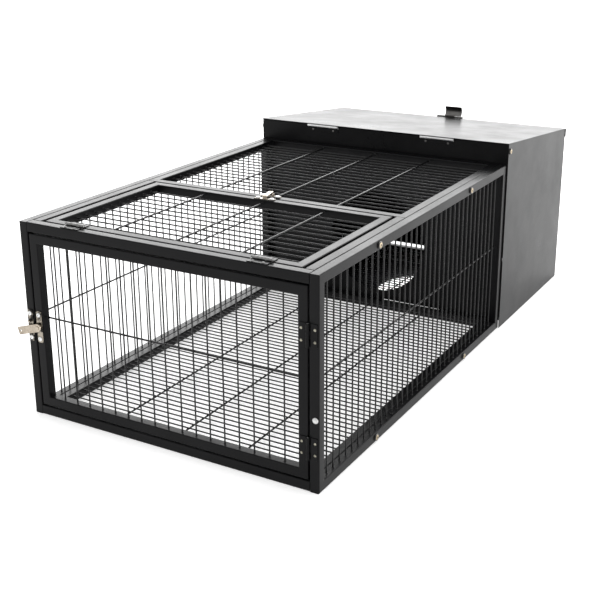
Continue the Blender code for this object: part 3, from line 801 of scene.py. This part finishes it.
def carved(solid, cutter):
    """One solid with another cut from it."""
    made = [shape.linked("template", shape.points) for shape in (solid, cutter)]
    cut = made[0].modifiers.new("cut", "BOOLEAN")
    cut.operation = "DIFFERENCE"
    cut.solver = "EXACT"
    cut.object = made[1]
    bpy.context.view_layer.update()
    mesh = made[0].evaluated_get(bpy.context.evaluated_depsgraph_get()).to_mesh()
    left = Solid()
    left.add([v.co for v in mesh.vertices], [list(p.vertices) for p in mesh.polygons])
    for obj in made:
        bpy.data.objects.remove(obj)
    return left


def cross_screw():
    """A pan head with a cross recess, standing on z = 0."""
    head = Solid()
    head.turned((0, 0, -SUNK), Z, SCREW_HEAD, sides=32)
    (short, low), (wide, high) = RECESS_LOW, RECESS_HIGH
    for u, v in ((X, Y), (Y, X)):
        outline = [u * short + Z * low, u * wide + Z * high, -u * wide + Z * high, -u * short + Z * low]
        slot = Solid()
        slot.pulled([p - v / 2 for p in outline], v)
        head = carved(head, slot)
    return head


def socket_bolt():
    """A low head with a hexagon socket, standing on z = 0."""
    head = Solid()
    head.turned((0, 0, 0), Z, BOLT_HEAD, sides=36)
    socket = Solid()
    socket.turned((0, 0, SOCKET_FLOOR), Z, [(0, SOCKET_R), (SOCKET_DEEP, SOCKET_R)], sides=6)
    return carved(head, socket)


SCREW = cross_screw()
BOLT = socket_bolt()


def latch_plate(name, node, middle, along, out, body, length, screw_step):
    side = out.cross(along)
    seat = Vector(middle) + out * GAP
    plate = Solid()
    rounded_plate(plate, seat, along, side, out, (length, PLATE_WIDE, PLATE_T), PLATE_CORNER, 3)
    # The plate's nickel carries painted highlights and painted shade in its patches
    plate.piece(name, NICKEL_SHEEN_SHADE, body, NICKEL_SLOT, bevel=PLATE_BEVEL, replaces=(node,))
    screws = Solid()
    for step, degrees in zip((-screw_step, screw_step), SCREW_TURNS):
        turn = Matrix.Rotation(math.radians(degrees), 3, out)
        screws.stamp(SCREW, seat + along * step + out * PLATE_T, (turn @ along, turn @ side, out))
    screws.piece(f"{name}_screws", ZINC, body, NICKEL_SLOT, replaces=(node,))


def bar_outline(pivot, way, side, tip, half):
    """The bar seen from its face: a round end at the rivet and a squarer finger end."""
    points = arc(pivot, half, 90, 270, 12, way, side)
    for sign, start in ((-1, 270), (1, 0)):
        corner = pivot + way * (tip - TIP_CORNER) + side * (sign * (half - TIP_CORNER))
        points += arc(corner, TIP_CORNER, start, start + 90, 4, way, side)
    return points


def latch(name, pivot, toward, along, out, door_body, bar_body, sizes):
    """A door plate with spacer and rivet, a keeper plate with its stop, and the bar on the rivet."""
    length, screw_step, reach, wide, lift, tilt = sizes
    half = wide / 2
    pivot = Vector(pivot)
    latch_plate(f"{name}_door_strap", f"{name}_door_plate", pivot, along, out, door_body, length, screw_step)
    post = Solid()
    base = pivot + out * (GAP + PLATE_T - POST_ROOT)
    rim = lift - SPACER_SHORT
    spacer = [(0, SPACER_R + SPACER_EASE), (SPACER_FOOT, SPACER_R)]
    spacer += [(rim - SPACER_RIM, SPACER_R), (rim, SPACER_R - SPACER_EASE)]
    post.turned(base, out, spacer, sides=28)
    top = lift + BAR_T
    post.turned(base, out, [(0, RIVET_SHANK_R), (top, RIVET_SHANK_R)])
    dome(post, pivot + out * (top + GAP), out, LATCH_HEAD_R, LATCH_HEAD_H, sides=28)
    post.piece(f"{name}_rivet", NICKEL, door_body, NICKEL_SLOT, replaces=(f"{name}_door_plate",))

    beside = pivot + toward * KEEPER_STEP
    latch_plate(f"{name}_keeper_strap", f"{name}_keeper_plate", beside, along, out, "cage", length, screw_step)
    stop = Solid()
    above = beside + along * (half + STOP_THICK) + out * (GAP + STOP_ROOT)
    size = (STOP_LONG, STOP_THICK, top - GAP - STOP_ROOT)
    rounded_plate(stop, above, toward, along, out, size, STOP_CORNER, 2)
    replaced = (f"{name}_keeper_plate",)
    stop.piece(f"{name}_stop", NICKEL, "cage", NICKEL_SLOT, bevel=STOP_BEVEL, replaces=replaced)

    tilt = math.radians(tilt)
    way = toward * math.cos(tilt) - along * math.sin(tilt)
    side = along * math.cos(tilt) + toward * math.sin(tilt)
    bar = Solid()
    bar.pulled(bar_outline(pivot + out * lift, way, side, reach - TIP_TRIM, half), out * BAR_T)
    for place, radius in ((0.0, BAR_HOLE_R), (reach - half, TIP_HOLE_R)):
        hole = Solid()
        hole.turned(pivot + way * place + out * (lift - 2), out, [(0, radius), (6, radius)])
        bar = carved(bar, hole)
    bar.piece(f"{name}_lever", NICKEL, bar_body, NICKEL_SLOT, bevel=PLATE_BEVEL, replaces=(f"{name}_bar",))


def latches():
    latch("front_latch", FRONT_LATCH_AT, -X, Z, -Y, "front_door", "front_latch", FRONT_LATCH)
    latch("lid_latch", (MIDDLE, LID_LATCH_Y, RUN_HEIGHT), Y, X, Z, "lid_door", "lid_latch", LID_LATCH)


def roof_catch():
    """A narrow leaf at the roof's rear edge, and the bowed strap that stands up on its pin."""
    node = "roof_catch_leaf"
    rear, top = node_box("roof_sheet")[1].y, node_box(node)[1].z
    at = Vector((CATCH_X, rear + FACE_AXIS, top - KNUCKLE_R))
    inner, outer = knuckle_spans(CATCH_LENGTH, CATCH_KNUCKLE)
    still, strap = Leaf(at, X, -Z, -Y), Leaf(at, X, Z, -Y)
    sizes = (CATCH_LENGTH, CATCH_REACH, outer)
    leaf_piece("roof_catch_base", node, still, *sizes, "roof", CATCH_RIVETS, ZINC, DARK_STEEL)
    pin_piece("roof_catch_pin", node, still, CATCH_LENGTH, "roof")

    radius = (STRAP_CHORD**2 / 4 + STRAP_BOW**2) / (2 * STRAP_BOW)
    half = math.asin(STRAP_CHORD / 2 / radius)
    outer_line, inner_line = [], []
    for i in range(STRAP_STEPS + 1):
        a = -half + 2 * half * i / STRAP_STEPS
        d = KNUCKLE_R + LEAF_CLEAR + STRAP_CHORD / 2 + radius * math.sin(a)
        n = KNUCKLE_R - LEAF_T - radius * (math.cos(a) - math.cos(half))
        outer_line.append((d, n))
        inner_line.append((d - LEAF_T * math.sin(a), n + LEAF_T * math.cos(a)))
    start = STRAP_SHIFT - STRAP_WIDE / 2
    outline = [strap.point(start, d, n) for d, n in outer_line + inner_line[::-1]]
    plate = Solid()
    plate.pulled(outline, X * STRAP_WIDE)
    for s0, s1 in inner:
        curl(plate, strap, s0, s1, KNUCKLE_R + STRAP_LAP)
    replaced = ("roof_catch_strap",)
    plate.piece("roof_catch_tongue", DARK_STEEL, "roof_catch", BLACK_SLOT, bevel=STRAP_BEVEL, replaces=replaced)


def bolts():
    """Brass socket bolts, each in a dark cup washer."""
    names = [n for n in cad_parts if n.startswith("bolt_")]
    for name in sorted(names):
        low, high = node_box(name)
        out = -X if "left" in name else X
        face = Vector((high.x if out.x < 0 else low.x, (low.y + high.y) / 2, (low.z + high.z) / 2))
        head = Solid()
        head.stamp(BOLT, face, (Y, out.cross(Y), out))
        head.piece(name + "_head", BRASS, "cage", BRASS_SLOT, replaces=(name,))
        ring = Solid()
        ring.turned(face, out, CUP_WASHER, sides=32)
        ring.piece(name + "_washer", DARK_STEEL, "cage", BRASS_SLOT, replaces=(name,))


def button():
    low, high = node_box("post_button")
    base = Vector(((low.x + high.x) / 2, high.y, (low.z + high.z) / 2))
    head = Solid()
    dome(head, base, -Y, BUTTON_R, BUTTON_H, sides=32)
    head.piece("post_button_head", BUTTON_ZINC, "cage", NICKEL_SLOT, replaces=("post_button",))


# Studio


def studio():
    mesh = bpy.data.meshes.new("studio_floor")
    corners = [(u * FLOOR_HALF, v * FLOOR_HALF, 0) for u, v in ((-1, -1), (1, -1), (1, 1), (-1, 1))]
    mesh.from_pydata(corners, [], [[0, 1, 2, 3]])
    obj = bpy.data.objects.new("studio_floor", mesh)
    obj.location.z = -FLOOR_DROP
    bpy.context.scene.collection.objects.link(obj)
    made, tree, shader = graph("pale_floor")
    shade = ranged(tree, noise(tree, object_space(tree), FLOOR_CLOUD, detail=2.0), 0.0, 1.0)
    tree.links.new(blended(tree, shade, FLOOR_DARK, FLOOR_LIGHT), shader.inputs["Base Color"])
    shader.inputs["Roughness"].default_value = FLOOR_ROUGH
    shader.inputs["Specular IOR Level"].default_value = FLOOR_SPECULAR
    shader.inputs["Emission Color"].default_value = (1.0, 1.0, 1.0, 1.0)
    shader.inputs["Emission Strength"].default_value = FLOOR_GLOW
    mesh.materials.append(made)


def softbox(name, at, aim, size, radiance):
    """A rectangular light of a given brightness, in watts per square metre and steradian."""
    lamp = bpy.data.lights.new(name, "AREA")
    lamp.shape = "RECTANGLE"
    lamp.size, lamp.size_y = size
    lamp.energy = radiance * math.pi * size[0] * size[1]
    obj = bpy.data.objects.new(name, lamp)
    obj.location = at
    obj.rotation_euler = (Vector(aim) - Vector(at)).to_track_quat("-Z", "Y").to_euler()
    obj.visible_camera = False
    bpy.context.scene.collection.objects.link(obj)
    return obj


def lights():
    world = bpy.data.worlds.new("studio")
    bpy.context.scene.world = world
    world.use_nodes = True
    back = world.node_tree.nodes["Background"]
    back.inputs["Color"].default_value = (1.0, 1.0, 1.0, 1.0)
    back.inputs["Strength"].default_value = WORLD_GLOW
    for name, at, aim, size, radiance in SOFTBOXES:
        softbox(name, at, aim, size, radiance)
    over = ORIGIN + Vector(LAMP_AT) * MM
    inside = softbox("shelter_lamp", over, over - Z, LAMP_SIZE, LAMP_RADIANCE)
    inside.data.spread = math.radians(LAMP_SPREAD)
    inside.visible_glossy = False


def camera():
    lens = bpy.data.cameras.new("camera")
    lens.lens = FOCAL
    lens.sensor_width = SENSOR
    lens.shift_y = SHIFT_Y
    lens.clip_start, lens.clip_end = 0.05, 100.0
    obj = bpy.data.objects.new("camera", lens)
    pitch, yaw, roll = (math.radians(a) for a in (PITCH, YAW, ROLL))
    turn = Matrix.Rotation(-yaw, 4, "Z") @ Matrix.Rotation(math.pi / 2 - pitch, 4, "X")
    place = ORIGIN + Vector(CAMERA_AT) * MM
    obj.matrix_world = Matrix.Translation(place) @ turn @ Matrix.Rotation(roll, 4, "Z")
    bpy.context.scene.collection.objects.link(obj)
    bpy.context.scene.camera = obj
    bpy.context.scene.view_settings.view_transform = "Standard"


camera()
side_panel("side_panel_left", 1)
side_panel("side_panel_right", -1)
floor_panel()
top_rails()
level_panel("top_rear_panel", "cage")
level_panel("lid_door_panel", "lid_door")
front_door()
for sheet_name in (
    "divider_sheet",
    "shelter_left_sheet",
    "shelter_right_sheet",
    "shelter_back_sheet",
    "shelter_floor_sheet",
):
    kept(sheet_name)
folds()
roof()
hinges()
latches()
roof_catch()
bolts()
button()
studio()
lights()
